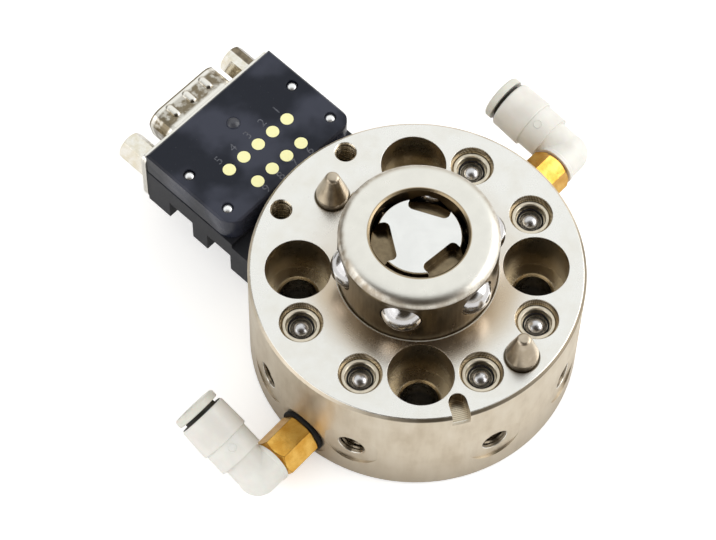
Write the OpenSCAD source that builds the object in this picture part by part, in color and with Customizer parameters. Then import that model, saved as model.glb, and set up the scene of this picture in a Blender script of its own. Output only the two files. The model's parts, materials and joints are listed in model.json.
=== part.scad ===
// Robot side of a small pneumatic tool changer.
// The origin is the centre of the robot-side face, +Z points at the tool.

/* [Body] */
// Outer diameter of the body
body_d = 57; // [54:0.5:72]
// Height of the body between its two faces
body_h = 24.6; // [23:0.2:32]
// Chamfer on the outer edges of the body
body_edge = 0.5; // [0.1:0.1:1]
// Pitch circle diameter of the four robot bolts
bolt_pcd = 40; // [39.4:0.1:41]
// Clearance hole of a robot bolt
bolt_hole_d = 6.6; // [5.5:0.1:7]
// Counterbore for a bolt head
bolt_head_d = 11.2; // [9:0.1:11.4]
// Depth of the counterbores below the tool face
bolt_head_depth = 9.3; // [6:0.1:14]
// Width of the index notch in the rim
notch_w = 3.1; // [2:0.1:5]
// Depth of the index notch
notch_depth = 2.7; // [1:0.1:4]
// Angle of the index notch
notch_angle = -76.8; // [-80:0.1:-72]

/* [Locating pins] */
// Diameter of a locating pin
pin_d = 5.5; // [4:0.1:6.6]
// Height of a pin above the tool face
pin_rise = 6.6; // [4:0.1:9]
// Length of a pin that is pressed into the body
pin_seat = 7; // [5:0.5:10]
// Height of the straight part of a pin above the face
pin_straight = 1.4; // [0.5:0.1:3]
// Distance of pin A from the axis
pin_a_r = 19.8; // [19:0.1:20.6]
// Distance of pin B from the axis
pin_b_r = 23.85; // [22:0.05:24.2]

/* [Ball lock] */
// Outer diameter of the ball cage
cage_d = 27; // [26.2:0.1:27.8]
// Height of the cage above the tool face
cage_rise = 12.1; // [11:0.1:15]
// Depth to which the cage sits in the body
cage_seat = 8.8; // [7.5:0.1:10]
// Bore of the cage around the cam
cage_bore_d = 16.4; // [16.3:0.02:17.4]
// Fillet on the top outer edge of the cage
cage_fillet = 1.4; // [0.4:0.1:2]
// Diameter of a locking ball
ball_d = 7.5; // [6.8:0.1:7.6]
// Distance of a locked ball's centre from the axis
ball_circle_r = 11.35; // [11:0.05:11.5]
// Height of the balls above the tool face
ball_rise = 6.35; // [5.6:0.05:6.6]
// Rise of the cam cone's radius per unit of height
cam_slope = 0.4; // [0.3:0.02:0.44]
// Diameter of the cam's rod
rod_d = 16; // [14:0.1:16.2]
// Height of the cam's top face above the tool face
cam_rise = 11.15; // [10.6:0.05:13]
// Diameter of the cam's top disc
cam_top_d = 14.2; // [12:0.1:15]
// Distance of the flats in the cam's three slots from the axis
slot_flat_r = 4.4; // [3:0.1:5]
// Width of each slot in the cam
slot_w = 7.2; // [4:0.1:8]
// Depth of the slots
slot_depth = 2.6; // [1.6:0.05:2.8]

/* [Cylinder] */
// Bore of the locking cylinder
cylinder_d = 26; // [24:0.1:26.2]
// Travel of the piston
piston_travel = 4; // [3:0.1:4.2]
// Thickness of the piston's disc
piston_t = 5; // [4.6:0.1:6]
// Thickness of the end cover
cover_t = 2; // [1.6:0.1:3]
// Thickness of the retaining ring
ring_t = 0.9; // [0.6:0.1:1.2]
// Height of unlocking port A above the end cover
port_a_up = 2.1; // [1.9:0.1:2.6]
// Distance of locking port B below the cage
port_b_down = 2.6; // [1.8:0.1:3.2]
// Angle of port A
port_a_angle = -133.2; // [-137:0.1:-130]
// Angle of port B
port_b_angle = 46; // [43:0.1:48]

/* [Air ports] */
// Pitch circle diameter of the six air ports
valve_pcd = 44; // [43:0.1:45.5]
// Diameter of a port's mouth in the tool face
valve_mouth_d = 7.45; // [6.8:0.05:8]
// Diameter of a port's bore
valve_bore_d = 6.6; // [6:0.1:6.8]
// Diameter of a check ball
check_ball_d = 4; // [3.4:0.1:4.1]
// Travel of a check ball
check_travel = 1; // [0.5:0.1:1.2]
// Height of the side ports above the robot face
side_port_z = 9.7; // [8:0.1:11]

/* [Fittings] */
// Width across flats of the stud hexagons
hex_af = 7; // [6:0.1:8]
// Length of the stud hexagons
hex_len = 7.3; // [5:0.1:9]
// Outer diameter of an elbow's barrel
elbow_d = 7.2; // [7:0.1:8]
// Outer diameter of a leg's sleeve
sleeve_d = 9.2; // [8.6:0.1:10.4]
// Length of the sleeve
sleeve_len = 5.9; // [5:0.1:9]
// Outer diameter of the tube that the fittings hold
tube_d = 4; // [3:0.1:4.2]
// Travel of a release button
button_travel = 0.5; // [0.2:0.1:0.6]

/* [Electrical module] */
// Width of the contact plate
plate_w = 30.2; // [29.4:0.1:36]
// Length of the contact plate away from the body
plate_len = 20.8; // [20.4:0.1:26]
// Thickness of the contact plate
plate_t = 5.5; // [4.5:0.1:6.5]
// Distance of the plate's top below the tool face
plate_drop = 3.5; // [2.4:0.1:4]
// Diameter of a contact
contact_d = 2.3; // [1.6:0.1:2.6]
// Pitch of the contacts in a row
contact_pitch = 3.54; // [3:0.02:3.8]
// Width of the housing under the plate
housing_w = 30.4; // [30.2:0.1:36]
// Height of the housing
housing_h = 9.3; // [8.8:0.1:10.4]

/* [Plug] */
// Width of the plug's flange
flange_w = 30.8; // [30:0.1:33]
// Height of the plug's flange
flange_h = 12.5; // [11:0.1:13.2]
// Width of the plug's shell at its wide side
shell_w = 16.9; // [16.5:0.1:18]
// Height of the plug's shell
shell_h = 8.36; // [8:0.02:9]
// Length of the shell in front of the flange
shell_len = 5.8; // [4.5:0.1:6.5]
// Distance between the two jackscrews
jack_pitch = 25; // [24.4:0.1:26]
// Width across flats of a jackscrew
jack_af = 4.9; // [4.2:0.1:5.2]

/* [Hidden] */
$fn = 96;

// Clearances
seat_gap = 0.02;
run_gap = 0.05;
loose_gap = 0.1;
cut = 1;

// Heights from the robot face
ring_land = 0.5;
cover_z = ring_land + ring_t;
cylinder_z = cover_z + cover_t;
seat_z = body_h - cage_seat;
cage_top_z = body_h + cage_rise;
ball_z = body_h + ball_rise;
cam_top_z = body_h + cam_rise;
bottom_gap = 0.3;
stop_gap = 0.1;
piston_z = cylinder_z + bottom_gap;
piston_top_z = piston_z + piston_t;
boss_top_z = seat_z - stop_gap - piston_travel;
rod_top_z = body_h - 1.8;

// Radii
body_r = body_d / 2;
cage_r = cage_d / 2;
cage_bore_r = cage_bore_d / 2;
cylinder_r = cylinder_d / 2;
rod_r = rod_d / 2;
ball_r = ball_d / 2;
cover_recess_r = cylinder_r + 1.5;
ring_groove_depth = 0.7;
mount_flat_r = body_r - 0.4;

// Ball lock
ball_count = 6;
ball_first_angle = 15.5;
ball_side_gap = 0.1;
ball_cam_gap = 0.1;
ball_hole_r = ball_r + ball_side_gap;
lip_r = ball_r - 0.25;
lip_depth = 0.6;
lip_mouth_r = ball_r - 0.1;
guide_top_z = body_h + 0.4;
cam_ball_r = ball_circle_r - (ball_r + ball_cam_gap) * sqrt(1 + cam_slope * cam_slope);
cam_land = 0.3;
cam_side_gap = 0.25;
slot_first_angle = 70.5;
slot_corner_r = 1;

// Seals
seal_w = 1.8;
seal_depth = 1.5;
groove_gap = 0.05;

// Piston
boss_wall = 1.4;
undercut_h = 2.2;
undercut_depth = 1.35;
piston_screw_d = 5;
piston_screw_head_d = 8.5;
piston_screw_head_h = 3;
piston_screw_grip = 8;

// Air ports, in pairs of a valve and the side port that feeds it
valve_angles = [27, 63, -27, -63, -117, -153];
side_port_angles = [24, 64, -28, -63, -114, -154];
valve_r = valve_pcd / 2;
valve_bore_r = valve_bore_d / 2;
mouth_depth = 1.1;
bushing_top_z = body_h - mouth_depth;
bushing_pocket_r = 2.5;
bushing_pocket_depth = 1.3;
seat_lip_t = 0.3;
check_ball_r = check_ball_d / 2;
seat_lip_r = check_ball_r - 0.15;
chamber_r = check_ball_r + 0.12;
check_ball_z = bushing_top_z - bushing_pocket_depth - seat_lip_t - 0.9;
retainer_t = 0.5;
retainer_hole_r = 1.1;
feed_r = 1.9;
feed_end_z = side_port_z - 1.1;
spring_r = 1.5;
spring_wire = 0.35;
spring_turns = 4;
spring_solid = spring_wire * (spring_turns + 1);
spring_top_z = check_ball_z - sqrt(pow(check_ball_r, 2) - pow(spring_r, 2)) - 0.3;
spring_z = spring_top_z - spring_solid - check_travel - loose_gap;
bushing_z = spring_z - 0.05 - retainer_t;

// M5 side ports and fittings
m5_tap_r = 2.1;
m5_r = 2.5;
port_spot_r = 5;
port_depth = 5;
port_drill_r = 1.25;
stud_thread_len = 4.5;
gasket_r = 4.25;
gasket_t = 0.8;
spigot_r = 2.8;
hex_end = mount_flat_r + gasket_t + hex_len;
elbow_gap = 0.05;
elbow_collar_t = 0.8;
leg_at = hex_end + 3.5;
spigot_end = leg_at + 1.4;
leg_tilt_a = 22.6;
leg_tilt_b = 6.7;
elbow_r = elbow_d / 2;
sleeve_r = sleeve_d / 2;
tube_r = tube_d / 2;
tube_gap = 0.08;
leg_step = 4.1;
leg_end = 8;
socket_floor = 4.3;
socket_r = tube_r + 1.1;
seal_floor = 5;
tube_seal_t = 1.4;
sleeve_end = leg_end + sleeve_len;
button_gap = button_travel + 0.2;
button_t = 1.4;
button_r = sleeve_r - 0.45;
neck_r = tube_r + 1.1;
socket_step = leg_end + 0.5;
neck_len = sleeve_end + button_gap - socket_step - button_travel - loose_gap;
hex_turn_a = -2.5;
hex_turn_b = 19.6;

// Electrical module, in its own axes: X across it, Y away from the body
module_turn = 45;
plate_in = body_r + 0.6;
plate_out = plate_in + plate_len;
plate_top_z = body_h - plate_drop;
plate_z = plate_top_z - plate_t;
plate_corner_r = 3;
plate_edge = 0.4;
housing_z = plate_z - housing_h;
foot_top_z = plate_z - 1.2;
housing_gap = 0.15;
tongue_w = 23;
tongue_in = 20.6;
tongue_t = 4.9;
tongue_top_z = housing_z + tongue_t;
tongue_gap = 0.1;
pocket_h = 4.8;
pocket_len = 5.7;
pocket_in_x = 9.6;
module_screw_x = 12.6;
module_screw_ys = [plate_in + 3.35, plate_in + 12.65];
module_screw_r = 1;
module_screw_head_r = 1.9;
module_screw_head_h = 1.5;
module_screw_drop = 1;
row_of_five_y = plate_in + 8.45;
row_of_four_y = plate_in + 3.32;
contact_head_len = 4;
contact_tail_r = 0.5;
contact_tail_len = 5;
plug_knob_y = plate_in + 14.55;
plug_knob_r = 1.2;
cavity_w = 18;
cavity_floor = 1.5;
cavity_wall = 1.2;
m4_circle_r = 25.5;
m4_angles = [117, 153];
m4_tap_r = 1.65;
m4_mouth_r = 1.95;
m4_head_r = 3.5;
m4_head_h = 4;

// Nine-way plug
sheet_t = 0.5;
flange_z = plate_z - 2.4;
shell_side_angle = 10;
shell_corner_r = 2.6;
shell_gap = 0.03;
insulator_face = 0.8;
block_w = cavity_w - 0.2;
block_h = 6.8;
block_len = 3.4;
pin_pitch = 2.77;
pin_rows = 2.84;
contact_pin_r = 0.5;
contact_pin_len = 4.5;
jack_len = 6.3;
jack_shank_r = 1.4;
jack_shank_len = 4;
jack_bore_r = 1.15;

function arc(cx, cy, r, from, to, n = 8) =
    [for (i = [0:n]) let (a = from + (to - from) * i / n) [cx + r * cos(a), cy + r * sin(a)]];

function unit(v) = v / norm(v);

// Rounds every corner of a convex outline
function rounded(p, r, n = 6) = [
    for (i = [0:len(p) - 1])
        let (
            b = p[i],
            before = unit(p[(i + len(p) - 1) % len(p)] - b),
            after = unit(p[(i + 1) % len(p)] - b),
            half = acos(before * after) / 2,
            c = b + unit(before + after) * r / sin(half),
            u = -unit(before + after)
        )
        for (k = [0:n])
            let (
                s = (90 - half) * (2 * k / n - 1),
                turn = cross(before, after) > 0 ? -s : s
            )
            c + r * [u[0] * cos(turn) - u[1] * sin(turn), u[0] * sin(turn) + u[1] * cos(turn)]
];

module tube_ring(r_out, r_in, h) {
    rotate_extrude()
        translate([r_in, 0])
            square([r_out - r_in, h]);
}

// Lays a shape that stands on +Z along +X instead
module along_x() {
    rotate([0, 90, 0])
        children();
}

// Lays a shape that stands on +Z along +Y or, with side = -1, along -Y
module along_y(side = 1) {
    rotate([-90 * side, 0, 0])
        children();
}

module at_angle(a, z = 0) {
    rotate([0, 0, a])
        translate([0, 0, z])
            children();
}

module at_polar(r, a, z = 0) {
    rotate([0, 0, a])
        translate([r, 0, z])
            children();
}

module in_module() {
    rotate([0, 0, module_turn])
        children();
}

// ---------- body ----------

module body_blank() {
    bore_edge = 0.25;
    rotate_extrude()
        polygon([
            [cover_recess_r, 0],
            [body_r - body_edge, 0],
            [body_r, body_edge],
            [body_r, body_h - body_edge],
            [body_r - body_edge, body_h],
            [cage_r + seat_gap + bore_edge, body_h],
            [cage_r + seat_gap, body_h - bore_edge],
            [cage_r + seat_gap, seat_z],
            [cylinder_r, seat_z],
            [cylinder_r, cylinder_z],
            [cover_recess_r, cylinder_z],
            [cover_recess_r, cover_z],
            [cover_recess_r + ring_groove_depth, cover_z],
            [cover_recess_r + ring_groove_depth, ring_land],
            [cover_recess_r, ring_land]
        ]);
}

module bolt_hole() {
    floor_z = body_h - bolt_head_depth;
    lead = 0.4;
    rotate_extrude()
        polygon([
            [0, -cut],
            [bolt_hole_d / 2, -cut],
            [bolt_hole_d / 2, floor_z - lead],
            [bolt_hole_d / 2 + lead, floor_z],
            [bolt_head_d / 2, floor_z],
            [bolt_head_d / 2, body_h + cut],
            [0, body_h + cut]
        ]);
}

module valve_bore() {
    rotate_extrude()
        polygon([
            [0, feed_end_z],
            [feed_r, feed_end_z],
            [feed_r, bushing_z],
            [valve_bore_r, bushing_z],
            [valve_bore_r, bushing_top_z],
            [valve_mouth_d / 2, body_h],
            [valve_mouth_d / 2, body_h + cut],
            [0, body_h + cut]
        ]);
}

// A port cut from the outside along X: spot face, countersink and tapped hole down to depth
module port_cut(hole_r, inner_x) {
    sink = 0.45;
    translate([inner_x, 0, 0])
        along_x()
            cylinder(r = hole_r, h = body_r - inner_x);
    translate([mount_flat_r - sink, 0, 0])
        along_x()
            cylinder(r1 = hole_r, r2 = hole_r + sink, h = sink);
    translate([mount_flat_r, 0, 0])
        along_x()
            cylinder(r = port_spot_r, h = 2);
}

module fitting_port_cut() {
    port_cut(m5_r, mount_flat_r - port_depth);
    translate([cylinder_r - cut, 0, 0])
        along_x()
            cylinder(r = port_drill_r, h = mount_flat_r - port_depth - cylinder_r + 2 * cut);
}

module index_notch() {
    end_r = body_r - 2.8;
    at_polar(end_r, notch_angle, body_h - notch_depth) {
        cylinder(d = notch_w, h = notch_depth + cut);
        translate([0, -notch_w / 2, 0])
            cube([body_r - end_r + cut, notch_w, notch_depth + cut]);
    }
}

module m4_hole() {
    lead = m4_mouth_r - m4_tap_r;
    rotate_extrude()
        polygon([
            [0, tongue_top_z - cut],
            [m4_tap_r, tongue_top_z - cut],
            [m4_tap_r, body_h - lead],
            [m4_mouth_r, body_h],
            [m4_mouth_r, body_h + cut],
            [0, body_h + cut]
        ]);
}

module body() {
    color("#b9b3a5")
        difference() {
            body_blank();
            for (i = [0:3])
                at_polar(bolt_pcd / 2, 90 * i)
                    bolt_hole();
            for (i = [0:len(valve_angles) - 1]) {
                at_polar(valve_r, valve_angles[i])
                    valve_bore();
                at_angle(side_port_angles[i], side_port_z)
                    port_cut(m5_tap_r, valve_r - 0.6);
            }
            at_angle(port_a_angle, cylinder_z + port_a_up)
                fitting_port_cut();
            at_angle(port_b_angle, seat_z - port_b_down)
                fitting_port_cut();
            locating_pin_at_a(body_h - pin_seat)
                cylinder(d = pin_d + 2 * seat_gap, h = pin_seat + cut);
            locating_pin_at_b(body_h - pin_seat)
                cylinder(d = pin_d + 2 * seat_gap, h = pin_seat + cut);
            for (a = m4_angles)
                at_polar(m4_circle_r, a)
                    m4_hole();
            index_notch();
            in_module()
                translate([-tongue_w / 2 - tongue_gap, tongue_in - tongue_gap, -cut])
                    cube([tongue_w + 2 * tongue_gap, body_r, tongue_top_z + tongue_gap + cut]);
        }
}

// ---------- locating pins ----------

module locating_pin_at_a(z) {
    at_polar(pin_a_r, 135, z)
        children();
}

module locating_pin_at_b(z) {
    at_polar(pin_b_r, -45.3, z)
        children();
}

module locating_pin() {
    r = pin_d / 2;
    tip_r = 1.3;
    round_r = 0.7;
    top = pin_seat + pin_rise;
    relief = 0.3;
    color("#8f8c86")
        rotate_extrude()
            polygon(concat(
                [
                    [0, 0],
                    [r - 0.5, 0],
                    [r, 0.5],
                    [r, pin_seat - 2 * relief],
                    [r - relief, pin_seat - relief],
                    [r - relief, pin_seat],
                    [r, pin_seat],
                    [r, pin_seat + pin_straight]
                ],
                arc(tip_r - round_r, top - round_r, round_r, 22, 90),
                [[0, top]]
            ));
}

module locating_pin_a() {
    locating_pin_at_a(body_h - pin_seat)
        locating_pin();
}

module locating_pin_b() {
    locating_pin_at_b(body_h - pin_seat)
        locating_pin();
}

// ---------- ball lock ----------

module ball_hole() {
    lip_x = cage_r - lip_depth;
    along_x()
        rotate_extrude()
            polygon([
                [0, cage_bore_r - 2 * cut],
                [ball_hole_r, cage_bore_r - 2 * cut],
                [ball_hole_r, lip_x - 0.45],
                [lip_r, lip_x],
                [lip_mouth_r, cage_r],
                [lip_mouth_r, cage_r + cut],
                [0, cage_r + cut]
            ]);
}

module ball_cage() {
    guide_r = rod_r + run_gap;
    mouth = 0.3;
    rod_groove_z = seat_z + 4;
    o_groove_z = seat_z + 1.4;
    groove_h = seal_w + 2 * groove_gap;
    color("#aaa496")
        difference() {
            rotate_extrude()
                polygon(concat(
                    [
                        [guide_r, seat_z],
                        [cage_r - 0.3, seat_z],
                        [cage_r, seat_z + 0.3],
                        [cage_r, o_groove_z],
                        [cage_r - 1.2, o_groove_z],
                        [cage_r - 1.2, o_groove_z + groove_h],
                        [cage_r, o_groove_z + groove_h]
                    ],
                    arc(cage_r - cage_fillet, cage_top_z - cage_fillet, cage_fillet, 0, 90),
                    [
                        [cage_bore_r + mouth, cage_top_z],
                        [cage_bore_r, cage_top_z - mouth],
                        [cage_bore_r, guide_top_z],
                        [guide_r, guide_top_z],
                        [guide_r, rod_groove_z + groove_h],
                        [guide_r + seal_depth, rod_groove_z + groove_h],
                        [guide_r + seal_depth, rod_groove_z],
                        [guide_r, rod_groove_z]
                    ]
                ));
            for (i = [0:ball_count - 1])
                at_angle(ball_first_angle + 60 * i, ball_z)
                    ball_hole();
        }
}

module cage_o_ring() {
    color("#1c1c1c")
        translate([0, 0, seat_z + 1.4 + groove_gap])
            tube_ring(cage_r, cage_r - 1.2 + seat_gap, seal_w);
}

module rod_seal() {
    r = rod_r + run_gap;
    color("#1c1c1c")
        translate([0, 0, seat_z + 4 + groove_gap])
            tube_ring(r + seal_depth - seat_gap, r - 0.01, seal_w);
}

module locking_ball(i) {
    color("#d8d8d8")
        at_polar(ball_circle_r, ball_first_angle + 60 * i, ball_z)
            sphere(r = ball_r);
}

module cam_slot() {
    half = slot_w / 2;
    linear_extrude(slot_depth + cut) {
        translate([slot_flat_r + slot_corner_r, -half])
            square([rod_r, slot_w]);
        translate([slot_flat_r, -half + slot_corner_r])
            square([rod_r, slot_w - 2 * slot_corner_r]);
        for (side = [-1, 1])
            translate([slot_flat_r + slot_corner_r, side * (half - slot_corner_r)])
                circle(r = slot_corner_r);
    }
}

module locking_cam() {
    neck_r = ball_circle_r - piston_travel * cam_slope - ball_r - ball_cam_gap;
    neck_top_z = ball_z - (cam_ball_r - neck_r) / cam_slope;
    head_r = cage_bore_r - cam_side_gap;
    head_z = ball_z + (head_r - cam_ball_r) / cam_slope;
    top_r = cam_top_d / 2;
    edge = 0.15;
    color("#cfccc4")
        difference() {
            rotate_extrude()
                polygon([
                    [0, piston_top_z],
                    [rod_r - 0.4, piston_top_z],
                    [rod_r, piston_top_z + 0.4],
                    [rod_r, rod_top_z],
                    [neck_r, rod_top_z + rod_r - neck_r],
                    [neck_r, neck_top_z],
                    [head_r, head_z],
                    [head_r, head_z + cam_land],
                    [top_r, cam_top_z - edge],
                    [top_r - edge, cam_top_z],
                    [0, cam_top_z]
                ]);
            for (i = [0:2])
                at_angle(slot_first_angle + 120 * i, cam_top_z - slot_depth)
                    cam_slot();
            translate([0, 0, piston_top_z - cut])
                cylinder(d = piston_screw_d + 2 * seat_gap, h = piston_screw_grip + 1.5 + cut);
        }
}

module piston() {
    r = cylinder_r - run_gap;
    groove_z = piston_top_z - 0.7 - seal_w - 2 * groove_gap;
    boss_r = rod_r + boss_wall;
    head_z = piston_z + piston_screw_head_h + 0.3;
    color("#c3c3c0")
        rotate_extrude()
            polygon([
                [piston_screw_head_d / 2 + loose_gap, piston_z],
                [r - undercut_depth, piston_z],
                [r - undercut_depth, piston_z + undercut_h],
                [r, piston_z + undercut_h],
                [r, groove_z],
                [r - seal_depth, groove_z],
                [r - seal_depth, groove_z + seal_w + 2 * groove_gap],
                [r, groove_z + seal_w + 2 * groove_gap],
                [r, piston_top_z - 0.2],
                [r - 0.2, piston_top_z],
                [boss_r, piston_top_z],
                [boss_r, boss_top_z],
                [rod_r + seat_gap, boss_top_z],
                [rod_r + seat_gap, piston_top_z],
                [piston_screw_d / 2 + loose_gap, piston_top_z],
                [piston_screw_d / 2 + loose_gap, head_z],
                [piston_screw_head_d / 2 + loose_gap, head_z]
            ]);
}

module piston_seal() {
    r = cylinder_r - run_gap;
    color("#1c1c1c")
        translate([0, 0, piston_top_z - 0.7 - seal_w - groove_gap])
            tube_ring(r + 0.02, r - seal_depth + seat_gap, seal_w);
}

module socket_head_screw(head_d, head_h, shank_d, shank_len, key_af) {
    difference() {
        union() {
            cylinder(d = head_d, h = head_h);
            translate([0, 0, head_h])
                cylinder(d = shank_d, h = shank_len);
        }
        translate([0, 0, -cut])
            cylinder(d = key_af / cos(30), h = head_h * 0.55 + cut, $fn = 6);
    }
}

module piston_screw() {
    head_z = piston_z + 0.3;
    shank_len = piston_top_z + piston_screw_grip - head_z - piston_screw_head_h;
    color("#3a3a3c")
        translate([0, 0, head_z])
            socket_head_screw(piston_screw_head_d, piston_screw_head_h, piston_screw_d, shank_len, 3);
}

module end_cover() {
    r = cover_recess_r - run_gap;
    groove_h = 1.1;
    groove_depth = 0.9;
    groove_z = cover_z + 0.45;
    color("#a9a59b")
        rotate_extrude()
            polygon([
                [0, cover_z],
                [r - 0.2, cover_z],
                [r, cover_z + 0.2],
                [r, groove_z],
                [r - groove_depth, groove_z],
                [r - groove_depth, groove_z + groove_h],
                [r, groove_z + groove_h],
                [r, cylinder_z],
                [0, cylinder_z]
            ]);
}

module cover_o_ring() {
    r = cover_recess_r - run_gap;
    color("#1c1c1c")
        translate([0, 0, cover_z + 0.5])
            tube_ring(r + 0.03, r - 0.88, 1);
}

module retaining_ring() {
    r_out = cover_recess_r + ring_groove_depth - run_gap;
    r_in = cover_recess_r - 1.2;
    lug_at = r_in;
    gap_half = 9;
    color("#55534e")
        translate([0, 0, ring_land])
            linear_extrude(ring_t - seat_gap)
                difference() {
                    union() {
                        difference() {
                            circle(r = r_out);
                            circle(r = r_in);
                            polygon([
                                [0, 0],
                                2 * r_out * [cos(90 - gap_half), sin(90 - gap_half)],
                                2 * r_out * [cos(90 + gap_half), sin(90 + gap_half)]
                            ]);
                        }
                        for (side = [-1, 1])
                            rotate([0, 0, 90 + side * (gap_half + 6)])
                                translate([lug_at, 0])
                                    circle(r = 1.4);
                    }
                    for (side = [-1, 1])
                        rotate([0, 0, 90 + side * (gap_half + 6)])
                            translate([lug_at - 0.1, 0])
                                circle(r = 0.65);
                }
}

// ---------- air port valves ----------

module valve_bushing() {
    r = valve_bore_r - run_gap;
    pocket_z = bushing_top_z - bushing_pocket_depth;
    rotate_extrude()
        polygon([
            [chamber_r, bushing_z],
            [r - 0.3, bushing_z],
            [r, bushing_z + 0.3],
            [r, bushing_top_z - 0.15],
            [r - 0.15, bushing_top_z],
            [bushing_pocket_r + 0.15, bushing_top_z],
            [bushing_pocket_r, bushing_top_z - 0.15],
            [bushing_pocket_r, pocket_z],
            [seat_lip_r, pocket_z],
            [seat_lip_r, pocket_z - seat_lip_t],
            [chamber_r, pocket_z - seat_lip_t - 0.3]
        ]);
}

module valve_bushings() {
    color("#cfc9b8")
        for (a = valve_angles)
            at_polar(valve_r, a)
                valve_bushing();
}

module valve_retainers() {
    color("#8d8a83")
        for (a = valve_angles)
            at_polar(valve_r, a, bushing_z)
                tube_ring(chamber_r - seat_gap, retainer_hole_r, retainer_t);
}

module valve_seats() {
    color("#161616")
        for (a = valve_angles)
            at_polar(valve_r, a, bushing_top_z - bushing_pocket_depth + seat_gap)
                tube_ring(bushing_pocket_r - seat_gap, seat_lip_r - 0.1, 0.6);
}

module check_ball(i) {
    color("#dcdcdc")
        at_polar(valve_r, valve_angles[i], check_ball_z)
            sphere(r = check_ball_r);
}

// A wire of round section wound into a compression spring
module coil(r, wire, z0, z1, turns) {
    steps = 10;
    sides = 5;
    n = turns * steps;
    w = wire / 2;
    rise = z1 - z0 - wire;
    points = [
        for (i = [0:n], k = [0:sides - 1])
            let (a = 360 * i / steps, b = 360 * k / sides)
            [(r + w * cos(b)) * cos(a), (r + w * cos(b)) * sin(a), z0 + w + rise * i / n + w * sin(b)]
    ];
    skin = [
        for (i = [0:n - 1], k = [0:sides - 1])
            let (next = (k + 1) % sides)
            [i * sides + k, (i + 1) * sides + k, (i + 1) * sides + next, i * sides + next]
    ];
    start_cap = [for (k = [0:sides - 1]) k];
    end_cap = [for (k = [0:sides - 1]) n * sides + sides - 1 - k];
    polyhedron(points = points, faces = concat(skin, [start_cap], [end_cap]));
}

module valve_spring(i) {
    color("#9a9a98")
        at_polar(valve_r, valve_angles[i])
            coil(spring_r, spring_wire, spring_z, spring_top_z, spring_turns);
}

// ---------- push-in fittings ----------

module stud(hex_turn) {
    thread_from = mount_flat_r - stud_thread_len;
    hex_from = mount_flat_r + gasket_t;
    corner_r = hex_af / 2 / cos(30);
    gasket_end = 0.5;
    elbow_end = 0.9;
    groove_r = spigot_r - 0.6;
    color("#c9973f")
        difference() {
            union() {
                translate([thread_from, 0, 0])
                    along_x()
                        cylinder(r = m5_r - run_gap, h = hex_from - thread_from + 1);
                intersection() {
                    translate([hex_from, 0, 0])
                        rotate([hex_turn, 0, 0])
                            along_x()
                                rotate([0, 0, 30])
                                    cylinder(r = corner_r, h = hex_len, $fn = 6);
                    along_x()
                        rotate_extrude()
                            polygon([
                                [0, hex_from],
                                [corner_r - gasket_end, hex_from],
                                [corner_r, hex_from + 0.6 * gasket_end],
                                [corner_r, hex_end - 0.9 * elbow_end],
                                [corner_r - elbow_end, hex_end],
                                [0, hex_end]
                            ]);
                }
                along_x()
                    rotate_extrude()
                        polygon([
                            [0, hex_end - 1],
                            [spigot_r, hex_end - 1],
                            [spigot_r, leg_at - 1.4],
                            [groove_r, leg_at - 1.2],
                            [groove_r, spigot_end - 0.3],
                            [groove_r - 0.3, spigot_end],
                            [0, spigot_end]
                        ]);
            }
            translate([thread_from - cut, 0, 0])
                along_x()
                    cylinder(r = port_drill_r, h = leg_at + 1 - thread_from + cut);
            translate([leg_at, 0, -spigot_r - cut])
                cylinder(r = 0.9, h = 2 * (spigot_r + cut));
        }
}

module gasket() {
    color("#161616")
        translate([mount_flat_r, 0, 0])
            along_x()
                rotate_extrude()
                    polygon([
                        [m5_r + run_gap, 0],
                        [gasket_r - 0.2, 0],
                        [gasket_r, 0.2],
                        [gasket_r, gasket_t - 0.2],
                        [gasket_r - 0.2, gasket_t],
                        [m5_r + run_gap, gasket_t]
                    ]);
}

// The elbow: a barrel round the stud's spigot and a leg towards side * Y
module elbow(side) {
    x0 = hex_end + elbow_gap;
    bore_r = spigot_r + run_gap;
    bore_end = spigot_end + loose_gap;
    barrel_from = x0 + elbow_collar_t;
    color("#eceeed")
        difference() {
            union() {
                along_x()
                    rotate_extrude()
                        polygon(concat(
                            [
                                [0, x0],
                                [elbow_r + 0.15, x0],
                                [elbow_r + 0.15, barrel_from - 0.15],
                                [elbow_r, barrel_from]
                            ],
                            [for (i = [0:12]) [elbow_r * cos(7.5 * i), leg_at + elbow_r * sin(7.5 * i)]]
                        ));
                translate([leg_at, 0, 0])
                    along_y(side) {
                        cylinder(r = elbow_r - 0.1, h = leg_step + 0.1);
                        translate([0, 0, leg_step])
                            cylinder(r = sleeve_r - 0.4, h = leg_end - leg_step);
                    }
            }
            translate([x0 - cut, 0, 0])
                along_x()
                    cylinder(r = bore_r, h = bore_end - x0 + cut);
            translate([x0 - 2, 0, 0])
                along_x()
                    cylinder(r = hex_af / 2 / cos(30) + 0.3, h = 2);
            translate([leg_at, 0, 0])
                along_y(side)
                    rotate_extrude()
                        polygon([
                            [0, 0],
                            [port_drill_r, 0],
                            [port_drill_r, socket_floor],
                            [tube_r + tube_gap, socket_floor],
                            [tube_r + tube_gap, seal_floor],
                            [socket_r, seal_floor],
                            [socket_r, leg_end + cut],
                            [0, leg_end + cut]
                        ]);
        }
}

module sleeve(side) {
    spigot_from = seal_floor + tube_seal_t + run_gap;
    edge = 0.3;
    taper = 0.17;
    color("#e3e6e6")
        translate([leg_at, 0, 0])
            along_y(side)
                rotate_extrude()
                    polygon([
                        [tube_r + tube_gap, spigot_from],
                        [socket_r - run_gap, spigot_from],
                        [socket_r - run_gap, leg_end + seat_gap],
                        [sleeve_r - 0.2, leg_end + seat_gap],
                        [sleeve_r, leg_end + 0.2],
                        [sleeve_r - taper, sleeve_end - edge],
                        [sleeve_r - taper - edge, sleeve_end],
                        [neck_r + loose_gap, sleeve_end],
                        [neck_r + loose_gap, socket_step],
                        [tube_r + tube_gap, socket_step]
                    ]);
}

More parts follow.
